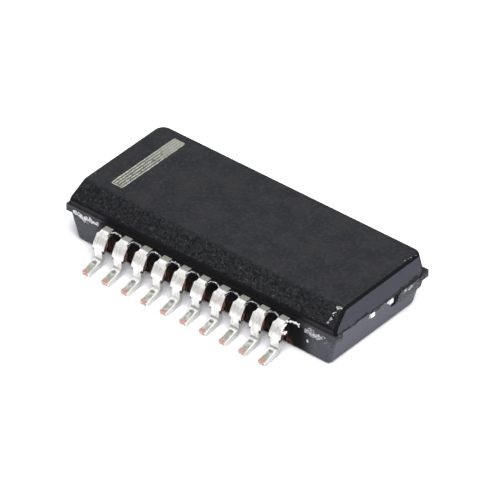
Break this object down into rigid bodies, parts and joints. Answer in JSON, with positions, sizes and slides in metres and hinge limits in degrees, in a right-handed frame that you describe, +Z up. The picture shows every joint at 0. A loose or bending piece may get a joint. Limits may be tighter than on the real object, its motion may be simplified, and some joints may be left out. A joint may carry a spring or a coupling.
{
  "type": "small-outline integrated circuit",
  "caption": "Surface-mount chip: a black moulded body with a bevelled index side and two rows of gull-wing leads, with its leadframe, die and bond wires inside.",
  "frame": {"origin": "centre of the footprint, on the plane that the toes stand on", "axes": "+X along the body towards the end with the cut tie bars and the gate remnant, +Y across it away from the index bevel, +Z up"},
  "size_m": [0.0174, 0.0112, 0.0032],
  "materials": {
    "moulding": "fine-grained matte black epoxy moulding compound",
    "lead_finish": "bright tin plating on copper, bare copper on the sheared edges",
    "leadframe": "bare copper alloy sheet",
    "attach": "silver-filled adhesive",
    "silicon": "polished silicon",
    "gold_wire": "drawn gold wire"
  },
  "bodies": {
    "root": {"package_body": "moulding", "die_pad": "leadframe", "die_attach": "attach", "die": "silicon", "lead_01": "lead_finish", "lead_02": "lead_finish", "lead_03": "lead_finish", "lead_04": "lead_finish", "lead_05": "lead_finish", "lead_06": "lead_finish", "lead_07": "lead_finish", "lead_08": "lead_finish", "lead_09": "lead_finish", "lead_10": "lead_finish", "lead_11": "lead_finish", "lead_12": "lead_finish", "lead_13": "lead_finish", "lead_14": "lead_finish", "lead_15": "lead_finish", "lead_16": "lead_finish", "lead_17": "lead_finish", "lead_18": "lead_finish", "lead_19": "lead_finish", "lead_20": "lead_finish", "bond_wire_01": "gold_wire", "bond_wire_02": "gold_wire", "bond_wire_03": "gold_wire", "bond_wire_04": "gold_wire", "bond_wire_05": "gold_wire", "bond_wire_06": "gold_wire", "bond_wire_07": "gold_wire", "bond_wire_08": "gold_wire", "bond_wire_09": "gold_wire", "bond_wire_10": "gold_wire", "bond_wire_11": "gold_wire", "bond_wire_12": "gold_wire", "bond_wire_13": "gold_wire", "bond_wire_14": "gold_wire", "bond_wire_15": "gold_wire", "bond_wire_16": "gold_wire", "bond_wire_17": "gold_wire", "bond_wire_18": "gold_wire", "bond_wire_19": "gold_wire", "bond_wire_20": "gold_wire"}
  },
  "joints": []
}
